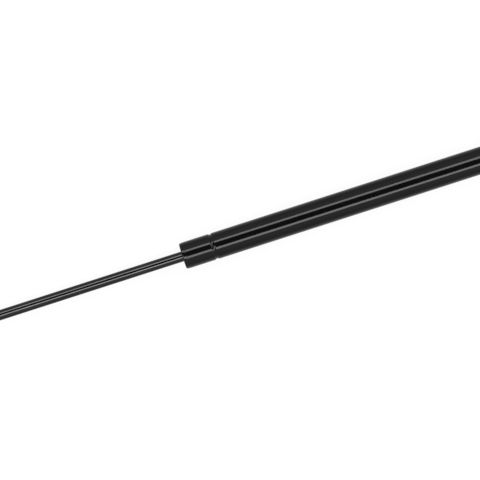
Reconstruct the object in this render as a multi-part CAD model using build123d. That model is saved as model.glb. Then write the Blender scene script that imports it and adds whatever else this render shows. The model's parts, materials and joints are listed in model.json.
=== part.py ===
from build123d import *
import math
import os

# Hood gas strut, shown fully extended, in millimetres.
# +X runs along the strut from the tube's ball stud to the rod's, and +Z is the way both studs point.
# The origin is the middle of the tube-end stud's flange, where the stud bolts down.
# Every piece round the strut's axis is modelled on the X axis and then lowered by ball_drop.
# Every end-fitting piece is modelled round its ball's centre with the strut to its +X side.

# Whole strut
stroke = 190.0
tube_length = 263.0
rod_reserve = 3.0
seat_clearance = 0.05
running_clearance = 0.05
overrun = 2.0

# Pressure tube
tube_radius = 7.8
tube_wall = 1.1
corner_radius = 0.8
rod_lip_reach = 2.1
plug_lip_reach = 1.2
lip_edge_radius = 0.3
groove_place = 18.6
groove_depth = 0.5
groove_floor_radius = 1.3
groove_edge_radius = 0.7

# Piston rod
rod_radius = 3.0
rod_thread_radius = 2.95
rod_thread_length = 10.0
rod_thread_chamfer = 0.6
spigot_radius = 2.0
rivet_radius = 2.9
rivet_height = 1.0
stop_gap = 0.1

# Guide pack at the tube's rod end
guide_length = 9.0
wiper_share = 0.7
wiper_length = 2.2
wiper_lip_share = 0.45
wiper_slope_share = 0.35
bushing_share = 0.27
o_ring_share = 0.43
o_ring_squeeze_share = 0.08
guide_ring_share = 0.45
seal_washer_thickness = 1.0
seal_length = 4.0
seal_outline_shares = [
    (0.00, 0.10), (0.00, 1.00), (1.00, 1.00), (1.00, 0.66), (0.45, 0.46),
    (1.00, 0.30), (1.00, 0.00), (0.80, 0.00), (0.40, 0.10),
]
spacer_wall = 2.0
spacer_slots = 4
spacer_slot_width = 1.6
spacer_slot_share = 0.4

# Piston on the rod's inner end
stop_washer_thickness = 1.2
piston_length = 6.0
piston_gap = 0.2
piston_ring_width = 2.0
piston_ring_share = 0.18
piston_ring_slit = 0.8
passages = 4
passage_share = 0.18
orifice_thickness = 0.4
orifice_share = 0.8
rivet_washer_thickness = 1.0
rivet_washer_radius = 3.6

# Plug at the tube's closed end
plug_length = 8.0
plug_ring_share = 0.5
plug_recess_radius = 3.5
plug_recess_depth = 3.0

# Ball sockets
ball_radius = 5.0
ball_clearance = 0.08
socket_reach = 22.0
cup_radius = 8.5
cup_back = 8.2
cup_rim = 5.5
cup_back_round = 1.4
cup_rim_round = 0.5
mouth_chamfer = 0.5
neck_root_radius = 5.4
neck_end_radius = 5.2
collar_radius = 6.0
collar_length = 2.5
collar_round = 0.4
rib_thickness = 1.6
rib_root_height = 7.6
rib_end_height = 6.0
rib_turns = (0.0, 180.0, 270.0)
insert_radius = 4.0
insert_length = 12.0
insert_groove_depth = 0.5
insert_groove_share = 0.2
thread_room = 1.5

# Safety clips
wire_radius = 0.8
clip_height = 2.9
clip_bend_place = 3.0
clip_leg_reach = 4.4
clip_clearance = 0.1

# Ball studs
ball_drop = 12.5
stud_neck_radius = 2.9
flange_height = 5.0
flange_across = 13.0
flange_sides = 6
flange_crown = 0.9
flare_height = 0.9
flare_width = 0.8
bolt_radius = 4.0
bolt_length = 12.0
bolt_chamfer = 0.8

# Angles, and places and radii that follow from the sizes above
quarter_turn = 90.0
half_turn = 180.0
bore_radius = tube_radius - tube_wall
fitted_radius = bore_radius - seat_clearance
rod_lip_radius = bore_radius - rod_lip_reach
plug_lip_radius = bore_radius - plug_lip_reach
tube_rear = socket_reach
tube_front = tube_rear + tube_length
rod_face = tube_front + rod_reserve + stroke
rod_ball_place = rod_face + socket_reach
arc_sum = groove_floor_radius + groove_edge_radius
groove_half = math.sqrt(arc_sum**2 - (arc_sum - groove_depth)**2)
front_groove = tube_front - groove_place
guide_front = tube_front - tube_wall
guide_back = guide_front - guide_length
seal_front = guide_back - seal_washer_thickness
seal_back = seal_front - seal_length
spacer_back = front_groove + groove_half
stop_face = front_groove - groove_half - stop_gap
piston_front = stop_face - stop_washer_thickness
piston_back = piston_front - piston_length
orifice_back = piston_back - orifice_thickness
rivet_face = orifice_back - rivet_washer_thickness
piston_radius = bore_radius - piston_gap
orifice_radius = piston_radius * orifice_share
ring_middle = (piston_front + piston_back) / 2
plug_outer = tube_rear + tube_wall
plug_inner = plug_outer + plug_length
rear_groove = plug_inner + seat_clearance + groove_half
shaft_hole_radius = rod_radius + running_clearance
wiper_radius = rod_radius + (bore_radius - rod_radius) * wiper_share
bushing_wall = (bore_radius - rod_radius) * bushing_share
o_ring_section = (bore_radius - rod_radius) * o_ring_share
spigot_hole_radius = spigot_radius + seat_clearance
piston_ring_depth = bore_radius * piston_ring_share
piston_groove_floor = bore_radius - piston_ring_depth - 2 * running_clearance
passage_circle = (spigot_hole_radius + piston_groove_floor) / 2
passage_radius = (piston_groove_floor - spigot_hole_radius) * passage_share
o_ring_radius = o_ring_section / 2
o_ring_groove_radius = bore_radius - o_ring_section * (1 - o_ring_squeeze_share)
clip_slot_radius = wire_radius + clip_clearance
clip_leg_place = math.sqrt((ball_radius + wire_radius + clip_clearance)**2 - clip_height**2)


# Shapes that several pieces share


def turned(points):
    """A solid turned about the X axis, from (x, radius) points."""
    outline = Polyline(*points, close=True)
    return revolve(make_face(outline), Axis.X)


def sleeve(start, end, inner, outer):
    """A plain ring or tube along the X axis."""
    return turned([(start, inner), (start, outer), (end, outer), (end, inner)])


def rod_piece(start, end, radius):
    """A plain round bar along the X axis."""
    return turned([(start, 0), (start, radius), (end, radius), (end, 0)])


def ring_of_section(place, radius, section_radius):
    """A ring of round section about the X axis."""
    section = Pos(place, radius) * Circle(section_radius)
    return revolve(section, Axis.X)


def around_axis(shape, count):
    """Copies of a shape, evenly spaced about the X axis."""
    step = 2 * half_turn / count
    return [Rot(step * index, 0, 0) * shape for index in range(count)]


# Pressure tube


def groove_arcs(place, radius):
    """The rolled groove's three tangent arcs, at one surface of the wall."""
    centre_height = radius - groove_depth + groove_floor_radius
    lean = math.degrees(math.atan2(arc_sum - groove_depth, groove_half))
    edge_height = radius - groove_edge_radius
    near_edge = CenterArc(
        (place - groove_half, edge_height), groove_edge_radius, quarter_turn, lean - quarter_turn
    )
    floor = CenterArc(
        (place, centre_height), groove_floor_radius, half_turn + lean, half_turn - 2 * lean
    )
    far_edge = CenterArc(
        (place + groove_half, edge_height), groove_edge_radius, half_turn - lean, lean - quarter_turn
    )
    return near_edge + floor + far_edge


def wall_line(radius, rear, front):
    """One surface of the wall, from its rear end to its front end, with both grooves."""
    return (
        Line((rear, radius), (rear_groove - groove_half, radius))
        + groove_arcs(rear_groove, radius)
        + Line((rear_groove + groove_half, radius), (front_groove - groove_half, radius))
        + groove_arcs(front_groove, radius)
        + Line((front_groove + groove_half, radius), (front, radius))
    )


def rear_end_line():
    """The rolled end round the plug, from the bore to the outer surface."""
    inner_face = tube_rear + tube_wall
    corner = (tube_rear + corner_radius, tube_radius - corner_radius)
    return (
        Line((inner_face, bore_radius), (inner_face, plug_lip_radius))
        + Line((inner_face, plug_lip_radius), (tube_rear, plug_lip_radius))
        + Line((tube_rear, plug_lip_radius), (tube_rear, tube_radius - corner_radius))
        + CenterArc(corner, corner_radius, half_turn, -quarter_turn)
    )


def front_end_line():
    """The rolled end round the rod, from the outer surface to the bore."""
    inner_face = tube_front - tube_wall
    corner = (tube_front - corner_radius, tube_radius - corner_radius)
    lip_middle = (tube_front - lip_edge_radius, rod_lip_radius + lip_edge_radius)
    return (
        CenterArc(corner, corner_radius, quarter_turn, -quarter_turn)
        + Line((tube_front, tube_radius - corner_radius), (tube_front, rod_lip_radius + lip_edge_radius))
        + CenterArc(lip_middle, lip_edge_radius, 0, -quarter_turn)
        + Line((tube_front - lip_edge_radius, rod_lip_radius), (inner_face, rod_lip_radius))
        + Line((inner_face, rod_lip_radius), (inner_face, bore_radius))
    )


def pressure_tube():
    """The tube with both rolled ends and both rolled grooves."""
    outline = (
        rear_end_line()
        + wall_line(tube_radius, tube_rear + corner_radius, tube_front - corner_radius)
        + front_end_line()
        + wall_line(bore_radius, tube_rear + tube_wall, tube_front - tube_wall)
    )
    return revolve(make_face(outline), Axis.X)


# Guide pack at the rod end, from the outside in


def rod_wiper():
    """Dust lip that sits in the guide's front recess."""
    front = guide_front - seat_clearance
    back = guide_front - wiper_length + seat_clearance
    outer = wiper_radius - seat_clearance
    lip = shaft_hole_radius
    slope = (outer - lip) * wiper_slope_share
    lip_back = front - (front - back) * wiper_lip_share
    return turned([
        (front, lip), (front, outer), (back, outer), (back, lip + slope), (lip_back, lip),
    ])


def rod_guide():
    """Carrier that centres the bushing in the tube."""
    recess_floor = guide_front - wiper_length
    body = sleeve(guide_back, guide_front, rod_radius + bushing_wall + running_clearance, fitted_radius)
    recess = sleeve(recess_floor, guide_front + overrun, 0, wiper_radius)
    middle = guide_back + (guide_length - wiper_length) * guide_ring_share
    half_groove = o_ring_radius + seat_clearance
    groove = sleeve(
        middle - half_groove, middle + half_groove, o_ring_groove_radius - seat_clearance,
        bore_radius + overrun,
    )
    return body - recess - groove


def guide_bushing():
    """Plain bearing pressed into the guide, with the rod running in it."""
    front = guide_front - wiper_length - seat_clearance
    outer = rod_radius + bushing_wall + running_clearance - seat_clearance
    return sleeve(guide_back + seat_clearance, front, shaft_hole_radius, outer)


def o_ring(middle):
    """Ring that fills its groove between the bore and the groove's floor."""
    half_height = (fitted_radius - o_ring_groove_radius) / 2
    ring = ring_of_section(middle, o_ring_groove_radius + half_height, o_ring_radius)
    room = sleeve(middle - o_ring_section, middle + o_ring_section, o_ring_groove_radius, fitted_radius)
    return ring & room


def guide_o_ring():
    """Static seal round the guide."""
    middle = guide_back + (guide_length - wiper_length) * guide_ring_share
    return o_ring(middle)


def seal_washer():
    """Steel washer that backs the rod seal."""
    hole = rod_radius + 2 * running_clearance
    return sleeve(seal_front, guide_back, hole, fitted_radius)


def rod_seal():
    """Lip seal with an open gas side."""
    reach = fitted_radius - shaft_hole_radius
    points = [
        (seal_front - seal_length * along, shaft_hole_radius + reach * out)
        for along, out in seal_outline_shares
    ]
    return turned(points)


def seal_spacer():
    """Ring that carries the seal on the tube's inner bead, slotted for the gas."""
    ring = sleeve(spacer_back, seal_back, fitted_radius - spacer_wall, fitted_radius)
    depth = (seal_back - spacer_back) * spacer_slot_share
    slot = Pos(seal_back, fitted_radius, 0) * Box(2 * depth, 2 * spacer_wall + overrun, spacer_slot_width)
    for cut in around_axis(slot, spacer_slots):
        ring = ring - cut
    return ring


# Rod and piston


def piston_rod():
    """Rod with its outer thread, its inner spigot and the riveted head."""
    thread_end = rod_face + rod_thread_length
    chamfer_start = thread_end - rod_thread_chamfer
    rivet_middle = rivet_face - rivet_height / 2
    rivet_end = rivet_face - rivet_height
    return turned([
        (rivet_end, 0),
        (rivet_end, spigot_radius),
        (rivet_middle, rivet_radius),
        (rivet_face, rivet_radius),
        (rivet_face, spigot_radius),
        (stop_face, spigot_radius),
        (stop_face, rod_radius),
        (rod_face, rod_radius),
        (rod_face, rod_thread_radius),
        (chamfer_start, rod_thread_radius),
        (thread_end, rod_thread_radius - rod_thread_chamfer),
        (thread_end, 0),
    ])


def stop_washer():
    """Washer against the rod's shoulder that meets the tube's bead at full reach."""
    return sleeve(piston_front, stop_face, spigot_hole_radius, piston_radius)


def piston():
    """Piston with the ring's groove and its gas passages."""
    half_groove = piston_ring_width / 2 + running_clearance
    body = sleeve(piston_back, piston_front, spigot_hole_radius, piston_radius)
    groove_outer = bore_radius + overrun
    groove = sleeve(
        ring_middle - half_groove, ring_middle + half_groove, piston_groove_floor, groove_outer
    )
    body = body - groove
    hole = rod_piece(piston_back - overrun, piston_front + overrun, passage_radius)
    hole = Pos(0, passage_circle, 0) * hole
    for cut in around_axis(hole, passages):
        body = body - cut
    return body


def piston_ring():
    """Slit ring that slides in the bore and lets the piston turn inside it."""
    outer = bore_radius - running_clearance
    inner = bore_radius - piston_ring_depth - running_clearance
    half_width = piston_ring_width / 2
    ring = sleeve(ring_middle - half_width, ring_middle + half_width, inner, outer)
    slit = Box(2 * piston_ring_width, 2 * piston_ring_depth + overrun, piston_ring_slit)
    return ring - Pos(ring_middle, outer, 0) * slit


def orifice_disc():
    """Thin disc over the passages, notched over one of them."""
    disc = sleeve(orifice_back, piston_back, spigot_hole_radius, orifice_radius)
    notch_radius = orifice_radius - passage_circle
    notch = rod_piece(orifice_back - overrun, piston_back + overrun, notch_radius)
    return disc - Pos(0, orifice_radius, 0) * notch


def rivet_washer():
    """Washer that the rod's riveted head clamps."""
    return sleeve(rivet_face, orifice_back, spigot_hole_radius, rivet_washer_radius)


# Closed end


def end_plug():
    """Plug with the threaded stud that carries the tube's socket."""
    thread_end = tube_rear - rod_thread_length
    chamfer_start = thread_end + rod_thread_chamfer
    nose = plug_lip_radius - seat_clearance
    body = turned([
        (thread_end, 0),
        (thread_end, rod_thread_radius - rod_thread_chamfer),
        (chamfer_start, rod_thread_radius),
        (tube_rear, rod_thread_radius),
        (tube_rear, nose),
        (plug_outer, nose),
        (plug_outer, fitted_radius),
        (plug_inner, fitted_radius),
        (plug_inner, plug_recess_radius),
        (plug_inner - plug_recess_depth, plug_recess_radius),
        (plug_inner - plug_recess_depth, 0),
    ])
    middle = plug_outer + plug_length * plug_ring_share
    half_groove = o_ring_radius + seat_clearance
    groove = sleeve(
        middle - half_groove, middle + half_groove, o_ring_groove_radius - seat_clearance,
        bore_radius + overrun,
    )
    return body - groove


def plug_o_ring():
    """Static seal round the plug."""
    return o_ring(plug_outer + plug_length * plug_ring_share)


# End fittings, round the ball's centre


def clip_slot():
    """Room in the cup for the clip, open at the far end so that the clip can be drawn out."""
    outer = clip_leg_place + clip_slot_radius
    inner = clip_leg_place - clip_slot_radius
    far = cup_radius + overrun
    near = clip_leg_reach + clip_clearance
    room = Pos((near - far) / 2, 0) * Rectangle(near + far, 2 * outer)
    core_length = near + clip_bend_place + overrun
    core = Pos(near + overrun - core_length / 2, 0) * Rectangle(core_length, 2 * inner)
    core = core + Pos(-clip_bend_place, 0) * Circle(inner)
    slot = extrude(room - core, clip_slot_radius, both=True)
    return Pos(0, 0, clip_height) * slot


def cup():
    """Round cup that stands across the strut."""
    height = cup_back + cup_rim
    body = Pos(0, 0, cup_rim - height / 2) * Cylinder(cup_radius, height)
    body = fillet(body.edges().filter_by(GeomType.CIRCLE).sort_by(Axis.Z)[0], cup_back_round)
    return fillet(body.edges().filter_by(GeomType.CIRCLE).sort_by(Axis.Z)[-1], cup_rim_round)


def neck():
    """Tapered neck with a collar at its end and ribs that run down to it from the cup."""
    body = turned([
        (0, 0), (0, neck_root_radius), (socket_reach, neck_end_radius), (socket_reach, 0),
    ])
    collar_start = socket_reach - collar_length
    collar = rod_piece(collar_start, socket_reach, collar_radius)
    collar = fillet(collar.edges().filter_by(GeomType.CIRCLE), collar_round)
    outline = Polyline(
        (0, 0), (0, rib_root_height), (collar_start, rib_end_height), (collar_start, 0), close=True
    )
    rib = extrude(make_face(outline), rib_thickness / 2, both=True)
    body = body + collar
    for turn in rib_turns:
        body = body + Rot(turn, 0, 0) * rib
    return body


def ball_room():
    """The ball's seat and the straight mouth above it, with a lead-in."""
    seat_radius = ball_radius + ball_clearance
    chamfer_floor = cup_rim - mouth_chamfer
    mouth = Pos(0, 0, cup_rim / 2 + overrun / 2) * Cylinder(seat_radius, cup_rim + overrun)
    lead_in = Pos(0, 0, chamfer_floor + mouth_chamfer) * Cone(
        seat_radius, seat_radius + 2 * mouth_chamfer, 2 * mouth_chamfer
    )
    return Sphere(seat_radius) + mouth + lead_in


def insert_outline(clearance):
    """The brass insert's outside, or the room for it where a clearance is given."""
    start = socket_reach - insert_length
    groove_length = insert_length * insert_groove_share
    groove_start = start + (insert_length - groove_length) / 2 + clearance
    groove_end = start + (insert_length + groove_length) / 2 - clearance
    outer = insert_radius + clearance
    return [
        (start - clearance, outer),
        (groove_start, outer),
        (groove_start, outer - insert_groove_depth),
        (groove_end, outer - insert_groove_depth),
        (groove_end, outer),
        (socket_reach, outer),
    ]


def socket_insert():
    """Threaded brass insert in the socket's neck."""
    hole = rod_thread_radius + seat_clearance
    start = socket_reach - insert_length
    return turned([(start, hole)] + insert_outline(0) + [(socket_reach, hole)])


def ball_socket():
    """Moulded socket: cup, neck, ball seat, clip slot and the room for its insert."""
    room = turned([(socket_reach - insert_length - seat_clearance, 0)] + insert_outline(seat_clearance)
                  + [(socket_reach, 0)])
    thread_end = socket_reach - insert_length - thread_room
    hole = rod_piece(thread_end, socket_reach, rod_thread_radius + seat_clearance)
    body = cup() + neck()
    return body - ball_room() - clip_slot() - room - hole


def safety_clip():
    """U of round wire whose legs pass through the cup beside the ball."""
    start = Vector(clip_leg_reach, clip_leg_place, clip_height)
    bend_start = Vector(-clip_bend_place, clip_leg_place, clip_height)
    bend_middle = Vector(-clip_bend_place - clip_leg_place, 0, clip_height)
    bend_end = Vector(-clip_bend_place, -clip_leg_place, clip_height)
    end = Vector(clip_leg_reach, -clip_leg_place, clip_height)
    path = Line(start, bend_start) + ThreePointArc(bend_start, bend_middle, bend_end) + Line(bend_end, end)
    section = Plane(start, z_dir=(-1, 0, 0)) * Circle(wire_radius)
    return sweep(section, path)


def stud_flange():
    """Hexagon flange, crowned on the ball's side."""
    bottom = ball_drop - flange_height
    hexagon = RegularPolygon(flange_across / 2, flange_sides, major_radius=False)
    block = Pos(0, 0, bottom) * extrude(hexagon, flange_height)
    corner = flange_across / 2 / math.cos(math.pi / flange_sides)
    outline = Polyline(
        (0, bottom), (flange_across / 2, bottom), (corner, bottom + flange_crown),
        (corner, ball_drop), (0, ball_drop), close=True,
    )
    crown = revolve(Plane.XZ * make_face(outline), Axis.Z)
    return block & crown


def ball_stud():
    """Ball, neck, flange and the bolt that goes through the bracket."""
    flange_bottom = ball_drop - flange_height
    bolt_end = ball_drop + bolt_length
    outline = Polyline(
        (0, 0),
        (stud_neck_radius, 0),
        (stud_neck_radius, flange_bottom - flare_height),
        (stud_neck_radius + flare_width, flange_bottom),
        (bolt_radius, ball_drop),
        (bolt_radius, bolt_end - bolt_chamfer),
        (bolt_radius - bolt_chamfer, bolt_end),
        (0, bolt_end),
        close=True,
    )
    core = revolve(Plane.XZ * make_face(outline), Axis.Z)
    return Sphere(ball_radius) + core + stud_flange()


# Output


def strut_pieces():
    """Pieces that are modelled on the strut's axis."""
    return {
        "pressure_tube": pressure_tube(),
        "piston_rod": piston_rod(),
        "rod_wiper": rod_wiper(),
        "rod_guide": rod_guide(),
        "guide_bushing": guide_bushing(),
        "guide_o_ring": guide_o_ring(),
        "seal_washer": seal_washer(),
        "rod_seal": rod_seal(),
        "seal_spacer": seal_spacer(),
        "stop_washer": stop_washer(),
        "piston": piston(),
        "piston_ring": piston_ring(),
        "orifice_disc": orifice_disc(),
        "rivet_washer": rivet_washer(),
        "end_plug": end_plug(),
        "plug_o_ring": plug_o_ring(),
    }


def end_pieces():
    """Pieces of one end fitting."""
    return {
        "socket": ball_socket(),
        "socket_insert": socket_insert(),
        "clip": safety_clip(),
        "ball_stud": ball_stud(),
    }


os.makedirs("parts", exist_ok=True)
on_axis = Pos(0, 0, -ball_drop)
at_rod = Pos(rod_ball_place, 0, 0) * Rot(0, 0, half_turn)
for name, shape in strut_pieces().items():
    export_step(on_axis * shape, f"parts/{name}.step")
for name, shape in end_pieces().items():
    export_step(on_axis * shape, f"parts/tube_{name}.step")
    export_step(on_axis * at_rod * shape, f"parts/rod_{name}.step")
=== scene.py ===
# Looks of the hood gas strut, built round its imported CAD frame.
# Sizes are in millimetres, as in the part's source, and meshes are scaled to metres as they are finished.
# The materials and the studio have metres where their comments say so.
# Pieces round the strut's axis are made on the X axis, and end fittings round their ball's centre.
import json
import math

import bmesh
import bpy
from mathutils import Matrix, Vector


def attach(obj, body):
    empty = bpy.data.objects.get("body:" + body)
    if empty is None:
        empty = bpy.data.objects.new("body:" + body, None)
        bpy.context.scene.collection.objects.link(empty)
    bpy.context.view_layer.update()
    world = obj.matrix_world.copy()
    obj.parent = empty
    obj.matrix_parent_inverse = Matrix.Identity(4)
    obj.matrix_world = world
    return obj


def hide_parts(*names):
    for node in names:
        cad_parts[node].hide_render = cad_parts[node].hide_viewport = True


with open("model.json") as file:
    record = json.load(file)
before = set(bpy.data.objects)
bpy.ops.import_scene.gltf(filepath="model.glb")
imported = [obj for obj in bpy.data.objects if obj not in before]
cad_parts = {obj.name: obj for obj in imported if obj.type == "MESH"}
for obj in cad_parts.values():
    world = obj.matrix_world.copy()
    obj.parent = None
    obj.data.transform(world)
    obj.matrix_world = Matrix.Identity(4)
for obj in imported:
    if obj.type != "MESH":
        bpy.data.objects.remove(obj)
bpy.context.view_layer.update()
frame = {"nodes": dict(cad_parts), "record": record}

# Sizes from the part's source
ball_drop = 12.5
ball_spacing = 500.0
tube_rear = 22.0
tube_front = 285.0
tube_radius = 7.8
tube_wall = 1.1
corner_radius = 0.8
rod_lip_reach = 2.1
plug_lip_reach = 1.2
lip_edge_radius = 0.3
groove_place = 18.6
groove_depth = 0.5
groove_floor_radius = 1.3
groove_edge_radius = 0.7
rear_groove = 32.473
rod_radius = 3.0
rod_thread_radius = 2.95
rod_thread_length = 10.0
rod_face = 478.0
spigot_radius = 2.0
rivet_radius = 2.9
rivet_height = 1.0
rivet_face = 256.377
stop_face = 264.977
seat_clearance = 0.05
plug_length = 8.0
plug_recess_radius = 3.5
plug_recess_depth = 3.0
ring_room_width = 1.7
ring_room_radius = 5.19
wiper_front = 283.85
wiper_back = 281.75
wiper_outer = 5.54
wiper_hole = 3.05
ball_radius = 5.0
cup_back = 8.2
socket_reach = 22.0
collar_length = 2.5
rib_root_height = 7.6
rib_end_height = 6.0
insert_radius = 4.0
insert_hole_radius = 3.0
insert_length = 12.0
insert_groove_width = 2.4
insert_groove_depth = 0.5
wire_radius = 0.8
clip_height = 2.9
clip_bend_place = 3.0
clip_leg_reach = 4.4
clip_leg_place = 5.138
stud_neck_radius = 2.9
flange_height = 5.0
flange_across = 13.0
flange_sides = 6
flange_crown = 0.9
flare_height = 0.9
flare_width = 0.8
bolt_radius = 4.0
bolt_length = 12.0

# Detail that only the looks have, with a thread's section as shares of its pitch and its depth
end_slope_length = 2.6
end_slope_drop = 0.15
crease_width = 0.5
crease_depth = 0.055
edge_hold = 0.15
longest_hold_share = 1 / 3
edge_break = 0.12
thread_pitch = 1.25
thread_depth = 0.77
rod_thread_pitch = 1.0
rod_thread_depth = 0.6
thread_relief = 1.2
thread_spare_turns = 2
thread_shares = [
    (0.0, 0.93), (0.02, 1.0), (0.105, 1.0), (0.125, 0.93),
    (0.41, 0.06), (0.46, 0.0), (0.665, 0.0), (0.715, 0.06),
]
wiper_edge_width = 0.6
wiper_edge_height = 0.35
ball_flat_radius = 1.2
neck_fillet = 0.5
centre_mark_radius = 0.9
centre_mark_depth = 0.45
wire_end_round = 0.35
knurl_teeth = 24
knurl_length = 1.05
knurl_depth = 0.18
moulded_cell = 0.19
moulded_passes = 14
moulded_smoothing = 0.5
taper_start = 4.0
taper_cuts = 18
seam_width = 0.14
seam_height = 0.06
seam_clear = 6.5
ejector_radius = 1.8
ejector_depth = 0.12
ejector_rim = 0.4

# How finely the meshes are divided
around = 192
around_stud = 72
around_wire = 28
around_knurl = 168
knurl_rows = 24
arc_steps = 8
ball_steps = 28
bend_steps = 36
crease_angle = math.radians(35)
same_point = 1e-4

# The photograph's view, with lengths on the strut's axis plane
picture_tilt = math.radians(17.85)
picture_width = 275.8
picture_inward = 34.28
picture_below = 1.15
camera_lens = 200.0
camera_sensor = 36.0

quarter_turn = math.pi / 2
full_turn = 2 * math.pi
to_metres = 0.001
strut_height = -ball_drop * to_metres

on_axis = Matrix.Translation((0, 0, strut_height)) @ Matrix.Scale(to_metres, 4)
at_tube_ball = on_axis
at_rod_ball = (
    Matrix.Translation((ball_spacing * to_metres, 0, strut_height))
    @ Matrix.Rotation(math.pi, 4, "Z")
    @ Matrix.Scale(to_metres, 4)
)


# Mesh making


def arc(centre, radius, start, sweep):
    """Points of an arc in a profile, with its angles in degrees."""
    points = []
    for step in range(arc_steps + 1):
        angle = math.radians(start + sweep * step / arc_steps)
        points.append((centre[0] + radius * math.cos(angle), centre[1] + radius * math.sin(angle)))
    return points


def run(start, end):
    """A straight stretch of a profile, held by extra points near both ends so that it stays flat."""
    length = math.dist(start, end)
    share = edge_hold / length
    if share > longest_hold_share:
        return [start, end]
    near = tuple(a + (b - a) * share for a, b in zip(start, end))
    far = tuple(b + (a - b) * share for a, b in zip(start, end))
    return [start, near, far, end]


def chain(*stretches):
    """One profile out of several stretches, without the points that repeat."""
    points = []
    for stretch in stretches:
        for point in stretch:
            if not points or math.dist(points[-1], point) > same_point:
                points.append(point)
    return points


def round_x(place, radius, count):
    """A ring about the X axis, or its one point where the radius is zero."""
    if radius <= 0:
        return [Vector((place, 0, 0))]
    turns = [full_turn * step / count for step in range(count)]
    return [Vector((place, radius * math.cos(turn), radius * math.sin(turn))) for turn in turns]


def round_z(radius, place, count):
    """A ring about the Z axis, or its one point where the radius is zero."""
    if radius <= 0:
        return [Vector((0, 0, place))]
    turns = [full_turn * step / count for step in range(count)]
    return [Vector((radius * math.cos(turn), radius * math.sin(turn), place)) for turn in turns]


def skin(mesh, rings, closed=False):
    """Adds faces over a row of rings. A ring of one point closes an end."""
    made = [[mesh.verts.new(point) for point in ring] for ring in rings]
    pairs = list(zip(made, made[1:]))
    if closed:
        pairs.append((made[-1], made[0]))
    for first, second in pairs:
        count = max(len(first), len(second))
        for step in range(count):
            after = (step + 1) % count
            corners = [first[step % len(first)], first[after % len(first)],
                       second[after % len(second)], second[step % len(second)]]
            mesh.faces.new(list(dict.fromkeys(corners)))


def thread_point(axis, place, radius, turn):
    """A point of a thread about the X or the Z axis."""
    across = (radius * math.cos(turn), radius * math.sin(turn))
    return (place, *across) if axis == "X" else (*across, place)


def thread(mesh, axis, start, end, root, crest, depth, pitch, count):
    """Adds a helical thread that runs out to its root at both ends."""
    rows = len(thread_shares)
    turns = math.ceil((end - start) / pitch) + thread_spare_turns
    grid = []
    for row in range(turns * rows):
        along_share, height_share = thread_shares[row % rows]
        column = []
        for step in range(count):
            place = start + (row // rows + along_share + step / count - 1) * pitch
            place = min(max(place, start), end)
            radius = min(crest - depth * (1 - height_share), root + place - start, root + end - place)
            column.append(mesh.verts.new(thread_point(axis, place, radius, full_turn * step / count)))
        grid.append(column)
    for row, (near, far) in enumerate(zip(grid, grid[1:])):
        for step in range(count - 1):
            mesh.faces.new((near[step], near[step + 1], far[step + 1], far[step]))
        if row + rows + 1 < len(grid):
            mesh.faces.new((near[-1], grid[row + rows][0], grid[row + rows + 1][0], far[-1]))


def linked(name, data):
    """A new object in the scene."""
    piece = bpy.data.objects.new(name, data)
    bpy.context.scene.collection.objects.link(piece)
    return piece


def mesh_data(name, mesh):
    """Mesh data from a bmesh, which is freed."""
    data = bpy.data.meshes.new(name)
    mesh.to_mesh(data)
    mesh.free()
    return data


def finished(name, mesh, place):
    """An object from a bmesh in millimetres, smooth but for its creases."""
    bmesh.ops.remove_doubles(mesh, verts=mesh.verts, dist=same_point)
    bmesh.ops.dissolve_degenerate(mesh, edges=mesh.edges, dist=same_point)
    loose = [vert for vert in mesh.verts if not vert.link_faces]
    bmesh.ops.delete(mesh, geom=loose)
    bmesh.ops.recalc_face_normals(mesh, faces=mesh.faces)
    data = mesh_data(name, mesh)
    data.transform(place)
    data.shade_smooth()
    data.set_sharp_from_angle(angle=crease_angle)
    return linked(name, data)


def turned(name, profile):
    """A hollow object turned about the strut's axis from a closed profile of (place, radius) points."""
    mesh = bmesh.new()
    skin(mesh, [round_x(x, radius, around) for x, radius in profile], closed=True)
    return finished(name, mesh, on_axis)


# Tube and rod


def groove(place, radius):
    """The rolled groove's three tangent arcs in a profile."""
    arc_sum = groove_floor_radius + groove_edge_radius
    half = math.sqrt(arc_sum**2 - (arc_sum - groove_depth)**2)
    lean = math.degrees(math.atan2(arc_sum - groove_depth, half))
    edge_height = radius - groove_edge_radius
    floor_height = radius - groove_depth + groove_floor_radius
    return chain(
        arc((place - half, edge_height), groove_edge_radius, 90, lean - 90),
        arc((place, floor_height), groove_floor_radius, 180 + lean, 180 - 2 * lean),
        arc((place + half, edge_height), groove_edge_radius, 180 - lean, lean - 90),
    )


def wall(radius, rear, front):
    """One surface of the tube's wall between its ends."""
    front_groove = tube_front - groove_place
    rear_arcs = groove(rear_groove, radius)
    front_arcs = groove(front_groove, radius)
    return chain(
        run((rear, radius), rear_arcs[0]),
        rear_arcs,
        run(rear_arcs[-1], front_arcs[0]),
        front_arcs,
        run(front_arcs[-1], (front, radius)),
    )


def dent(start):
    """A fine round dent in the outline, where the rolled end begins."""
    points = []
    for step in range(arc_steps + 1):
        share = step / arc_steps
        depth = crease_depth * math.sin(math.pi * share)**2
        points.append((start[0] + crease_width * share, start[1] - depth))
    return points


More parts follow.
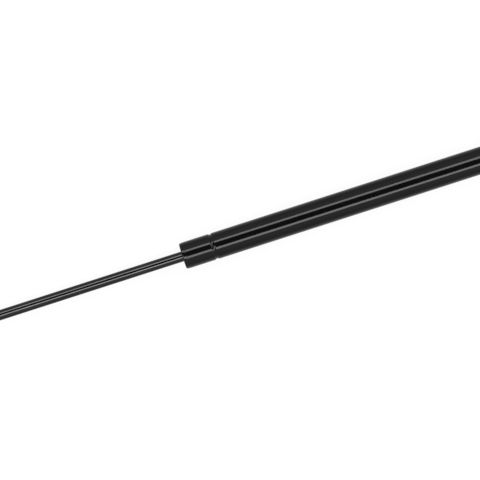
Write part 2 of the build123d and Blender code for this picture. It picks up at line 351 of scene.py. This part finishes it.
def tube_shell():
    """The painted tube with its grooves and rolled ends. The rod end draws in before its corner."""
    bore = tube_radius - tube_wall
    plug_lip = bore - plug_lip_reach
    rod_lip = bore - rod_lip_reach
    end_radius = tube_radius - end_slope_drop
    slope_start = tube_front - end_slope_length
    rear_inside = tube_rear + tube_wall
    front_inside = tube_front - tube_wall
    outside = wall(tube_radius, tube_rear + corner_radius, slope_start)
    inside = wall(bore, rear_inside, front_inside)
    rear_corner = (tube_rear + corner_radius, tube_radius - corner_radius)
    front_corner = (tube_front - corner_radius, end_radius - corner_radius)
    lip_corner = (tube_front - lip_edge_radius, rod_lip + lip_edge_radius)
    profile = chain(
        run((rear_inside, bore), (rear_inside, plug_lip)),
        run((rear_inside, plug_lip), (tube_rear, plug_lip)),
        run((tube_rear, plug_lip), (tube_rear, rear_corner[1])),
        arc(rear_corner, corner_radius, 180, -90),
        outside,
        dent((slope_start, tube_radius)),
        run((slope_start + crease_width, tube_radius), (front_corner[0], end_radius)),
        arc(front_corner, corner_radius, 90, -90),
        run((tube_front, front_corner[1]), (tube_front, lip_corner[1])),
        arc(lip_corner, lip_edge_radius, 0, -90),
        run((lip_corner[0], rod_lip), (front_inside, rod_lip)),
        run((front_inside, rod_lip), (front_inside, bore)),
        inside[::-1],
    )
    return turned("tube_shell", profile[:-1])


def rod_bar():
    """The polished rod, with its outer thread, its inner spigot and the riveted head."""
    thread_end = rod_face + rod_thread_length
    root = rod_thread_radius - rod_thread_depth
    rivet_end = rivet_face - rivet_height
    rivet_side = rivet_face - rivet_height / 2
    inner = chain(
        [(rivet_end, 0)],
        run((rivet_end, 0), (rivet_end, spigot_radius)),
        arc((rivet_side, rivet_radius - rivet_height / 2), rivet_height / 2, 180, -90)[1:],
        run((rivet_side, rivet_radius), (rivet_face, rivet_radius)),
        run((rivet_face, rivet_radius), (rivet_face, spigot_radius)),
        run((rivet_face, spigot_radius), (stop_face, spigot_radius)),
        run((stop_face, spigot_radius), (stop_face, rod_radius - edge_break)),
        run((stop_face + edge_break, rod_radius), (rod_face - edge_break, rod_radius)),
        run((rod_face, rod_radius - edge_break), (rod_face, root)),
    )
    mesh = bmesh.new()
    skin(mesh, [round_x(x, radius, around) for x, radius in inner])
    thread(mesh, "X", rod_face, thread_end, root, rod_thread_radius, rod_thread_depth, rod_thread_pitch,
           around)
    skin(mesh, [round_x(thread_end, root, around), round_x(thread_end, 0, around)])
    return finished("rod_bar", mesh, on_axis)


def plug_turned():
    """The plug with its threaded stud, the groove for its ring and the recess in its inner face."""
    thread_start = tube_rear - rod_thread_length
    root = rod_thread_radius - rod_thread_depth
    outside = tube_radius - tube_wall - seat_clearance
    nose = outside - plug_lip_reach
    face = tube_rear + tube_wall
    end = face + plug_length
    floor = end - plug_recess_depth
    room_start = face + plug_length / 2 - ring_room_width / 2
    room_end = room_start + ring_room_width
    body = chain(
        run((tube_rear, root), (tube_rear, nose)),
        run((tube_rear, nose), (face, nose)),
        run((face, nose), (face, outside - edge_break)),
        run((face + edge_break, outside), (room_start, outside)),
        run((room_start, outside), (room_start, ring_room_radius)),
        run((room_start, ring_room_radius), (room_end, ring_room_radius)),
        run((room_end, ring_room_radius), (room_end, outside)),
        run((room_end, outside), (end - edge_break, outside)),
        run((end, outside - edge_break), (end, plug_recess_radius + edge_break)),
        run((end - edge_break, plug_recess_radius), (floor, plug_recess_radius)),
        run((floor, plug_recess_radius), (floor, 0)),
    )
    mesh = bmesh.new()
    skin(mesh, [round_x(thread_start, 0, around), round_x(thread_start, root, around)])
    thread(mesh, "X", thread_start, tube_rear, root, rod_thread_radius, rod_thread_depth, rod_thread_pitch,
           around)
    skin(mesh, [round_x(x, radius, around) for x, radius in body])
    return finished("plug_turned", mesh, on_axis)


def wiper_lip():
    """The dust lip that shows round the rod, raised to a fine edge where it meets the rod."""
    middle = (wiper_front + wiper_back) / 2
    floor = wiper_front - wiper_edge_height
    profile = chain(
        run((middle, wiper_hole), (wiper_front, wiper_hole)),
        run((wiper_front, wiper_hole), (wiper_front, wiper_hole + edge_break)),
        run((wiper_front, wiper_hole + edge_break), (floor, wiper_hole + wiper_edge_width)),
        run((floor, wiper_hole + wiper_edge_width), (floor, wiper_outer - lip_edge_radius)),
        run((floor, wiper_outer - lip_edge_radius), (floor - lip_edge_radius, wiper_outer)),
        run((floor - lip_edge_radius, wiper_outer), (wiper_back, wiper_outer)),
        run((wiper_back, wiper_outer), (wiper_back, wiper_hole + corner_radius)),
    )
    return turned("wiper_lip", profile)


# End fittings


def ball_profile():
    """Radius and height of the ball, from its small flat to the neck's fillet."""
    start = math.asin(ball_flat_radius / ball_radius)
    end = math.pi - math.asin((stud_neck_radius + neck_fillet / 2) / ball_radius)
    points = []
    for step in range(ball_steps + 1):
        turn = start + (end - start) * step / ball_steps
        points.append((ball_radius * math.sin(turn), -ball_radius * math.cos(turn)))
    return points


def hexagon_radius(turn):
    """Distance from the middle to the flange's side, in the direction of an angle."""
    sector = full_turn / flange_sides
    off_middle = (turn + sector / 2) % sector - sector / 2
    off_flat = off_middle - sector / 2 if off_middle > 0 else off_middle + sector / 2
    return flange_across / 2 / math.cos(off_flat)


def flange_rings():
    """Rings of the hexagon flange, crowned on the ball's side."""
    bottom = ball_drop - flange_height
    flat = flange_across / 2
    corner = flat / math.cos(math.pi / flange_sides)
    rings = [[], [], [], []]
    for step in range(around_stud):
        turn = full_turn * step / around_stud
        radius = hexagon_radius(turn)
        rise = bottom + flange_crown * (radius - flat) / (corner - flat) + edge_break
        heights = [(radius - edge_break, rise - edge_break), (radius, rise),
                   (radius, ball_drop - edge_break), (radius - edge_break, ball_drop)]
        for ring, (out, height) in zip(rings, heights):
            ring.append(Vector((out * math.cos(turn), out * math.sin(turn), height)))
    return rings


def ball_stud(name, place):
    """Ball, neck, hexagon flange and the threaded bolt."""
    bottom = ball_drop - flange_height
    bolt_end = ball_drop + bolt_length
    root = bolt_radius - thread_depth - edge_break
    thread_start = ball_drop + thread_relief
    neck_start = math.sqrt(ball_radius**2 - stud_neck_radius**2) + neck_fillet
    flat = flange_across / 2
    lower = chain(
        [(0, -math.sqrt(ball_radius**2 - ball_flat_radius**2))],
        ball_profile(),
        [(stud_neck_radius, neck_start)],
        run((stud_neck_radius, neck_start), (stud_neck_radius, bottom - flare_height)),
        arc((stud_neck_radius + flare_width, bottom - flare_height), flare_width, 180, -90),
        run((stud_neck_radius + flare_width, bottom), (flat - edge_break, bottom)),
    )
    upper = chain(
        run((bolt_radius + edge_break, ball_drop), (root, ball_drop + edge_break)),
        run((root, ball_drop + edge_break), (root, thread_start)),
    )
    tip = [(root, bolt_end), (centre_mark_radius, bolt_end), (0, bolt_end - centre_mark_depth)]
    mesh = bmesh.new()
    rings = [round_z(radius, height, around_stud) for radius, height in lower]
    rings += flange_rings()
    rings += [round_z(radius, height, around_stud) for radius, height in upper]
    skin(mesh, rings)
    thread(mesh, "Z", thread_start, bolt_end, root, bolt_radius, thread_depth, thread_pitch, around_stud)
    skin(mesh, [round_z(radius, height, around_stud) for radius, height in tip])
    return finished(name, mesh, place)


def clip_line():
    """Middle of the clip's wire with its direction, from one leg's end to the other's."""
    inward = Vector((-1, 0, 0))
    outward = Vector((1, 0, 0))
    points = [
        (Vector((clip_leg_reach, clip_leg_place, 0)), inward),
        (Vector((-clip_bend_place, clip_leg_place, 0)), inward),
    ]
    for step in range(1, bend_steps):
        turn = quarter_turn + math.pi * step / bend_steps
        along = -clip_bend_place + clip_leg_place * math.cos(turn)
        across = clip_leg_place * math.sin(turn)
        points.append((Vector((along, across, 0)), Vector((-math.sin(turn), math.cos(turn), 0))))
    points.append((Vector((-clip_bend_place, -clip_leg_place, 0)), outward))
    points.append((Vector((clip_leg_reach, -clip_leg_place, 0)), outward))
    return points


def wire_ring(middle, along, radius):
    """A ring of the wire, or its one point where the radius is zero."""
    if radius <= 0:
        return [middle]
    up = Vector((0, 0, 1))
    side = along.cross(up)
    turns = [full_turn * step / around_wire for step in range(around_wire)]
    return [middle + (side * math.cos(turn) + up * math.sin(turn)) * radius for turn in turns]


def wire_clip(name, place):
    """The clip's bent wire with rounded ends."""
    line = clip_line()
    rounding = [(0.0, wire_radius - wire_end_round)]
    for step in range(1, arc_steps + 1):
        turn = quarter_turn * step / arc_steps
        rounding.append((wire_end_round * (1 - math.cos(turn)),
                         wire_radius - wire_end_round * (1 - math.sin(turn))))
    first, along = line[0]
    last, onward = line[-1]
    rings = [[first]]
    rings += [wire_ring(first + along * depth, along, radius) for depth, radius in rounding]
    rings += [wire_ring(middle, tangent, wire_radius) for middle, tangent in line[1:-1]]
    rings += [wire_ring(last - onward * depth, onward, radius) for depth, radius in rounding[::-1]]
    rings += [[last]]
    mesh = bmesh.new()
    skin(mesh, rings)
    bmesh.ops.translate(mesh, verts=mesh.verts, vec=(0, 0, clip_height))
    return finished(name, mesh, place)


def knurled_ring(place, outer):
    """A ring of the insert's knurled band, whose diamonds rise where two sets of ridges cross."""
    points = []
    for step in range(around_knurl):
        turn = full_turn * step / around_knurl
        across = knurl_teeth * turn / 2
        along = math.pi * place / knurl_length
        height = abs(math.sin(across + along) * math.sin(across - along))
        radius = outer - knurl_depth * (1 - height)
        points.append(Vector((place, radius * math.cos(turn), radius * math.sin(turn))))
    return points


def knurled_insert(name, place):
    """The brass insert with its two knurled bands and the groove between them."""
    start = socket_reach - insert_length
    band = (insert_length - insert_groove_width) / 2
    valley = insert_radius - knurl_depth
    groove_radius = insert_radius - insert_groove_depth
    bands = [
        (start, insert_hole_radius, groove_radius),
        (socket_reach - band, groove_radius, insert_hole_radius),
    ]
    rings = []
    for band_start, first, last in bands:
        band_end = band_start + band
        rings += [round_x(band_start, first, around_knurl), round_x(band_start, valley, around_knurl)]
        for row in range(1, knurl_rows):
            rings.append(knurled_ring(band_start + band * row / knurl_rows, insert_radius))
        rings += [round_x(band_end, valley, around_knurl), round_x(band_end, last, around_knurl)]
    mesh = bmesh.new()
    skin(mesh, rings, closed=True)
    return finished(name, mesh, place)


def cut(mesh, place, normal):
    """Divides the faces that a plane meets."""
    everything = mesh.verts[:] + mesh.edges[:] + mesh.faces[:]
    bmesh.ops.bisect_plane(mesh, geom=everything, plane_co=place, plane_no=normal)


def taper_share(place):
    """The ribs' height at a distance from the ball, as a share of their height where the taper starts."""
    slope = (rib_end_height - rib_root_height) / (socket_reach - collar_length)
    full_height = rib_root_height + slope * taper_start
    height = rib_root_height + slope * max(place, taper_start)
    return height / full_height


def without_taper(mesh):
    """Widens the neck until its ribs run straight along the fine cells, so that their edges stay clean."""
    reach = socket_reach - taper_start
    for step in range(taper_cuts):
        cut(mesh, (taper_start + reach * step / taper_cuts, 0, 0), (1, 0, 0))
    for vert in mesh.verts:
        vert.co.yz /= taper_share(vert.co.x)


def with_taper(mesh):
    """Gives the neck its taper back."""
    for vert in mesh.verts:
        vert.co.yz *= taper_share(vert.co.x)


def raised_seam(mesh):
    """Raises a fine parting line round the outside, at the height of the strut's axis."""
    for height in (-seam_width, 0, seam_width):
        cut(mesh, (0, 0, height), (0, 0, 1))
    mesh.normal_update()
    for vert in mesh.verts:
        near = 1 - abs(vert.co.z) / seam_width
        if near > 0 and vert.co.length > seam_clear:
            vert.co += vert.normal * seam_height * near


def sunk_mark(mesh):
    """Sinks an ejector mark with a soft rim into the middle of the cup's flat back."""
    for vert in mesh.verts:
        inward = (ejector_radius - math.hypot(vert.co.x, vert.co.y)) / ejector_rim
        if vert.co.z < -cup_back + ejector_depth and inward > 0:
            vert.co.z += ejector_depth * (1 - math.cos(math.pi * min(inward, 1))) / 2


def softened(mesh):
    """The mesh divided into fine cells and smoothed, which rounds its edges as a mould does."""
    data = bpy.data.meshes.new("hard_edges")
    mesh.to_mesh(data)
    source = linked("hard_edges", data)
    remesh = source.modifiers.new("cells", "REMESH")
    remesh.mode = "VOXEL"
    remesh.voxel_size = moulded_cell
    smooth = source.modifiers.new("soft", "SMOOTH")
    smooth.factor = moulded_smoothing
    smooth.iterations = moulded_passes
    mesh.clear()
    mesh.from_object(source, bpy.context.evaluated_depsgraph_get())
    bpy.data.objects.remove(source)
    bpy.data.meshes.remove(data)


def moulded(name, node, place):
    """A socket with the soft edges of a moulding, from the CAD node's own shape."""
    mesh = bmesh.new()
    mesh.from_mesh(frame["nodes"][node].data)
    mesh.transform(place.inverted())
    without_taper(mesh)
    softened(mesh)
    with_taper(mesh)
    raised_seam(mesh)
    sunk_mark(mesh)
    return finished(name, mesh, place)


# Materials, whose texture scales count features in a metre

noise_detail = 3.0
noise_roughness = 0.5
noise_low_share = 0.3
noise_high_share = 0.7
bump_strength = 1.0
usual_ior = 1.5
usual_coarse = 60.0
drawn_stretch_share = 0.08
white = (1, 1, 1, 1)


def node_in(tree, kind, links=None, **values):
    """A new shader node with its sockets set or linked by name."""
    node = tree.nodes.new(kind)
    for key, value in values.items():
        setattr(node, key, value)
    for key, value in (links or {}).items():
        if isinstance(value, bpy.types.NodeSocket):
            tree.links.new(value, node.inputs[key])
        else:
            node.inputs[key].default_value = value
    return node


def place_in(tree):
    """The surface point in the piece's own space, in metres."""
    return node_in(tree, "ShaderNodeTexCoord").outputs["Object"]


def turned_place_in(tree):
    """Distances along and out from the strut's axis, so that a texture runs round it as turning marks do."""
    parts = node_in(tree, "ShaderNodeSeparateXYZ", {0: place_in(tree)})
    height = node_in(tree, "ShaderNodeMath", {0: parts.outputs["Z"], 1: -strut_height}, operation="ADD")
    squares = [
        node_in(tree, "ShaderNodeMath", {0: socket, 1: 2.0}, operation="POWER").outputs[0]
        for socket in (parts.outputs["Y"], height.outputs[0])
    ]
    total = node_in(tree, "ShaderNodeMath", {0: squares[0], 1: squares[1]}, operation="ADD")
    radius = node_in(tree, "ShaderNodeMath", {0: total.outputs[0]}, operation="SQRT")
    return node_in(tree, "ShaderNodeCombineXYZ", {0: parts.outputs["X"], 1: radius.outputs[0]}).outputs[0]


def drawn_place_in(tree):
    """The surface point with the X direction squeezed, so that a texture runs along X as drawing marks do."""
    links = {0: place_in(tree), 1: (drawn_stretch_share, 1.0, 1.0)}
    return node_in(tree, "ShaderNodeVectorMath", links, operation="MULTIPLY").outputs[0]


def noise_in(tree, place, scale):
    """Noise with features of about one over its scale, in metres."""
    links = {"Vector": place, "Scale": scale, "Detail": noise_detail, "Roughness": noise_roughness}
    return node_in(tree, "ShaderNodeTexNoise", links).outputs[0]


def spread_in(tree, value, low, high):
    """Noise spread over a range."""
    links = {"Value": value, "From Min": noise_low_share, "From Max": noise_high_share,
             "To Min": low, "To Max": high}
    return node_in(tree, "ShaderNodeMapRange", links).outputs[0]


def tones_in(tree, value, first, second):
    """Two tones that the noise mixes."""
    ramp = node_in(tree, "ShaderNodeValToRGB", {0: value})
    stops = ramp.color_ramp.elements
    stops[0].position = noise_low_share
    stops[1].position = noise_high_share
    stops[0].color = (*first, 1)
    stops[1].color = (*second, 1)
    return ramp.outputs[0]


def surface(name, tones, finish, fine, relief, metal=0.0, ior=usual_ior,
            place_of=place_in, coarse=usual_coarse):
    """A material whose tone, roughness and relief vary with noise. relief is in millimetres."""
    material = bpy.data.materials.new(name)
    material.use_nodes = True
    tree = material.node_tree
    shader = tree.nodes["Principled BSDF"]
    shader.inputs["Metallic"].default_value = metal
    shader.inputs["IOR"].default_value = ior
    place = place_of(tree)
    wide = noise_in(tree, place, coarse)
    close = noise_in(tree, place, fine)
    tree.links.new(tones_in(tree, wide, *tones), shader.inputs["Base Color"])
    tree.links.new(spread_in(tree, close, *finish), shader.inputs["Roughness"])
    links = {"Height": close, "Distance": relief * to_metres, "Strength": bump_strength}
    bump = node_in(tree, "ShaderNodeBump", links)
    tree.links.new(bump.outputs[0], shader.inputs["Normal"])
    return material


looks = {
    "black_paint": {
        "tones": ((0.0022, 0.0022, 0.0023), (0.0032, 0.0032, 0.0034)), "finish": (0.09, 0.13),
        "fine": 900.0, "relief": 0.0012, "ior": 1.4,
    },
    "nitrided_steel": {
        "tones": ((0.050, 0.050, 0.052), (0.062, 0.062, 0.064)), "finish": (0.08, 0.13),
        "fine": 5000.0, "relief": 0.0003, "metal": 1.0, "place_of": turned_place_in,
    },
    "plain_steel": {
        "tones": ((0.38, 0.38, 0.39), (0.50, 0.50, 0.51)), "finish": (0.24, 0.42),
        "fine": 4200.0, "relief": 0.004, "metal": 1.0, "place_of": turned_place_in,
    },
    "zinc_plated_steel": {
        "tones": ((0.56, 0.58, 0.61), (0.65, 0.65, 0.62)), "finish": (0.30, 0.36),
        "fine": 1600.0, "relief": 0.0003, "metal": 1.0, "coarse": 260.0,
    },
    "spring_steel": {
        "tones": ((0.46, 0.46, 0.47), (0.56, 0.56, 0.57)), "finish": (0.20, 0.30),
        "fine": 5000.0, "relief": 0.0008, "metal": 1.0, "place_of": drawn_place_in,
    },
    "brass": {
        "tones": ((0.68, 0.51, 0.21), (0.76, 0.60, 0.29)), "finish": (0.22, 0.38),
        "fine": 4200.0, "relief": 0.003, "metal": 1.0, "place_of": turned_place_in,
    },
    "bearing_bronze": {
        "tones": ((0.50, 0.32, 0.15), (0.64, 0.44, 0.23)), "finish": (0.40, 0.60),
        "fine": 3800.0, "relief": 0.010, "metal": 1.0, "coarse": 1500.0,
    },
    "guide_aluminium": {
        "tones": ((0.66, 0.66, 0.67), (0.76, 0.76, 0.77)), "finish": (0.28, 0.44),
        "fine": 3600.0, "relief": 0.005, "metal": 1.0, "place_of": turned_place_in,
    },
    "black_rubber": {
        "tones": ((0.014, 0.014, 0.014), (0.022, 0.022, 0.022)), "finish": (0.55, 0.75),
        "fine": 5200.0, "relief": 0.006, "coarse": 300.0,
    },
    "black_plastic": {
        "tones": ((0.014, 0.014, 0.015), (0.022, 0.022, 0.023)), "finish": (0.36, 0.50),
        "fine": 4500.0, "relief": 0.008, "coarse": 240.0,
    },
    "white_plastic": {
        "tones": ((0.78, 0.78, 0.74), (0.86, 0.86, 0.83)), "finish": (0.38, 0.52),
        "fine": 3800.0, "relief": 0.004, "coarse": 240.0,
    },
}
materials = {name: surface(name, **look) for name, look in looks.items()}


# The pieces on their bodies

slot_of = {row["node"]: row["material_slot"] for row in frame["record"]["subparts"]}
body_of = {
    node: body
    for body, nodes in frame["record"]["behaviour"]["bodies"].items()
    for node in nodes
}


def dress(piece, node):
    """Puts a piece in a CAD node's place, on its body and in its material."""
    slot = slot_of[node]
    piece.data.materials.append(materials[slot])
    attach(piece, body_of[node])
    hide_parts(node)


dress(tube_shell(), "pressure_tube")
dress(rod_bar(), "piston_rod")
dress(wiper_lip(), "rod_wiper")
dress(plug_turned(), "end_plug")
for end, place in (("tube", at_tube_ball), ("rod", at_rod_ball)):
    dress(ball_stud(f"{end}_stud_turned", place), f"{end}_ball_stud")
    dress(wire_clip(f"{end}_clip_wire", place), f"{end}_clip")
    dress(moulded(f"{end}_socket_moulded", f"{end}_socket", place), f"{end}_socket")
    dress(knurled_insert(f"{end}_insert_knurled", place), f"{end}_socket_insert")
for node, solid in frame["nodes"].items():
    if not solid.hide_render:
        solid.material_slots[0].material = materials[slot_of[node]]


# Camera

right = Vector((-math.cos(picture_tilt), math.sin(picture_tilt), 0))
up = Vector((-math.sin(picture_tilt), -math.cos(picture_tilt), 0))
back = Vector((0, 0, 1))


def framed(location, x_axis, y_axis, z_axis):
    """The matrix of an object at a place with given axes."""
    turn = Matrix((x_axis, y_axis, z_axis)).transposed()
    return Matrix.Translation(location) @ turn.to_4x4()


picture_middle = Vector((
    (tube_front - picture_inward) * to_metres,
    picture_below * to_metres,
    strut_height,
))
camera_data = bpy.data.cameras.new("camera")
camera_data.lens = camera_lens
camera_data.sensor_width = camera_sensor
camera = linked("camera", camera_data)
camera_distance = picture_width * to_metres * camera_lens / camera_sensor
camera.matrix_world = framed(picture_middle + back * camera_distance, right, up, back)
bpy.context.scene.camera = camera


# Studio, in metres but for studio_inward. The tent's levels go by the share of the way from its top to the
# floor, and the boards' by the distance from the strut's axis. Both are glow that only reflections show:
# painted reflections on the strut.

floor_height = -0.0208
floor_size = 8.0
strip_height = 0.36
strip_offset = 0.190
strip_length = 1.5
strip_width = 0.10
upper_radiance = 5.3
lower_radiance = 6.0
tent_radius = 0.55
tent_length = 3.0
tent_steps = 45
tent_black = 0.03
tent_levels = [(0.31, 0.03), (0.36, 0.62), (0.58, 0.63), (0.80, 0.51), (1.0, 0.38)]
board_rise = 0.0001
board_levels = [
    (0.012, 0.74), (0.018, 0.70), (0.026, 0.61), (0.042, 0.47), (0.080, 0.38), (0.540, 0.38),
]
studio_inward = 110.0
world_level = 0.15
background_level = 1.0
floor_glow = 1.03
floor_glow_share = 0.88
floor_colour = (0.82, 0.82, 0.82, 1)

studio_middle = Vector((studio_inward * to_metres, 0, strut_height))


def strip_light(name, side, radiance):
    """A long soft box beside and above the strut."""
    lamp = bpy.data.lights.new(name, "AREA")
    lamp.shape = "RECTANGLE"
    lamp.size = strip_length
    lamp.size_y = strip_width
    lamp.energy = radiance * math.pi * strip_length * strip_width
    lamp_object = linked(name, lamp)
    location = studio_middle + up * side * strip_offset + back * strip_height
    away = (location - studio_middle).normalized()
    lamp_object.matrix_world = framed(location, right, away.cross(right), away)
    lamp_object.visible_camera = False


def shines(tree):
    """One for rays that look at the background: from the camera, a reflection or glass."""
    path = node_in(tree, "ShaderNodeLightPath")
    seen = path.outputs["Is Camera Ray"]
    for ray in ("Is Glossy Ray", "Is Transmission Ray"):
        either = node_in(tree, "ShaderNodeMath", {0: seen, 1: path.outputs[ray]}, operation="MAXIMUM")
        seen = either.outputs[0]
    return seen


def blank_material(name):
    """A material whose nodes are still to be made."""
    material = bpy.data.materials.new(name)
    material.use_nodes = True
    material.node_tree.nodes.clear()
    return material


def floor():
    """A plain white floor that keeps a faint shadow."""
    material = blank_material("floor_white")
    tree = material.node_tree
    plain = node_in(tree, "ShaderNodeBsdfDiffuse", {"Color": floor_colour})
    glow = node_in(tree, "ShaderNodeEmission", {"Color": white, "Strength": floor_glow})
    share = node_in(tree, "ShaderNodeMath", {0: shines(tree), 1: floor_glow_share}, operation="MULTIPLY")
    links = {0: share.outputs[0], 1: plain.outputs[0], 2: glow.outputs[0]}
    mix = node_in(tree, "ShaderNodeMixShader", links)
    node_in(tree, "ShaderNodeOutputMaterial", {0: mix.outputs[0]})
    mesh = bmesh.new()
    half = floor_size / 2
    corners = [(-half, -half), (half, -half), (half, half), (-half, half)]
    mesh.faces.new([mesh.verts.new((x, y, floor_height)) for x, y in corners])
    data = mesh_data("floor", mesh)
    data.materials.append(material)
    floor_object = linked("floor", data)


def glow_material(name):
    """A card that shines as much as its mesh's own glow says."""
    material = blank_material(name)
    tree = material.node_tree
    level = node_in(tree, "ShaderNodeAttribute", attribute_name="glow").outputs["Fac"]
    glow = node_in(tree, "ShaderNodeEmission", {"Color": white, "Strength": level})
    node_in(tree, "ShaderNodeOutputMaterial", {0: glow.outputs[0]})
    return material


def card(name, outline, length, place):
    """A card along its own X axis, from (across, up, glow) points, which only reflections see."""
    mesh = bmesh.new()
    glow = mesh.verts.layers.float.new("glow")
    edges = []
    for end in (-length / 2, length / 2):
        edge = []
        for across, rise, level in outline:
            vert = mesh.verts.new((end, across, rise))
            vert[glow] = level
            edge.append(vert)
        edges.append(edge)
    for step in range(len(outline) - 1):
        mesh.faces.new((edges[0][step], edges[0][step + 1], edges[1][step + 1], edges[1][step]))
    data = mesh_data(name, mesh)
    data.materials.append(glow_material(name))
    card_object = linked(name, data)
    card_object.matrix_world = place
    for ray in ("camera", "diffuse", "shadow", "volume_scatter"):
        setattr(card_object, f"visible_{ray}", False)


def tent_outline():
    """The tent's arch as glow levels for a painted reflection: black over the strut, then grey walls that get
    darker towards the floor.
    """
    outline = []
    for step in range(-tent_steps, tent_steps + 1):
        turn = quarter_turn * step / tent_steps
        share = abs(step) / tent_steps
        level = tent_black
        for (near, low), (far, high) in zip(tent_levels, tent_levels[1:]):
            if near <= share <= far:
                level = low + (high - low) * (share - near) / (far - near)
        outline.append((tent_radius * math.sin(turn), tent_radius * math.cos(turn), level))
    return outline


def tent():
    """A glowing tent over the strut with black ends, and glowing grey boards on the floor beside the strut.
    Only reflections see them, so they are painted reflections on the strut.
    """
    base = Vector((studio_middle.x, studio_middle.y, floor_height))
    card("tent", tent_outline(), tent_length, framed(base, right, up, back))
    for side in (-1, 1):
        edge = base + right * side * tent_length / 2
        wall_outline = [(-tent_radius, 0, tent_black), (tent_radius, 0, tent_black)]
        card(f"tent_end_{side + 1}", wall_outline, 2 * tent_radius, framed(edge, back, up, -right))
        board = [(side * across, board_rise, level) for across, level in board_levels]
        card(f"board_{side + 1}", board, tent_length, Matrix.Translation(base))


def studio_world():
    """White behind everything, and a low even light on the object."""
    world = bpy.data.worlds.new("studio")
    bpy.context.scene.world = world
    world.use_nodes = True
    tree = world.node_tree
    tree.nodes.clear()
    low = node_in(tree, "ShaderNodeBackground", {"Color": white, "Strength": world_level})
    full = node_in(tree, "ShaderNodeBackground", {"Color": white, "Strength": background_level})
    links = {0: shines(tree), 1: low.outputs[0], 2: full.outputs[0]}
    mix = node_in(tree, "ShaderNodeMixShader", links)
    node_in(tree, "ShaderNodeOutputWorld", {0: mix.outputs[0]})


floor()
tent()
strip_light("strip_upper", 1, upper_radiance)
strip_light("strip_lower", -1, lower_radiance)
studio_world()
bpy.context.scene.view_settings.view_transform = "Standard"
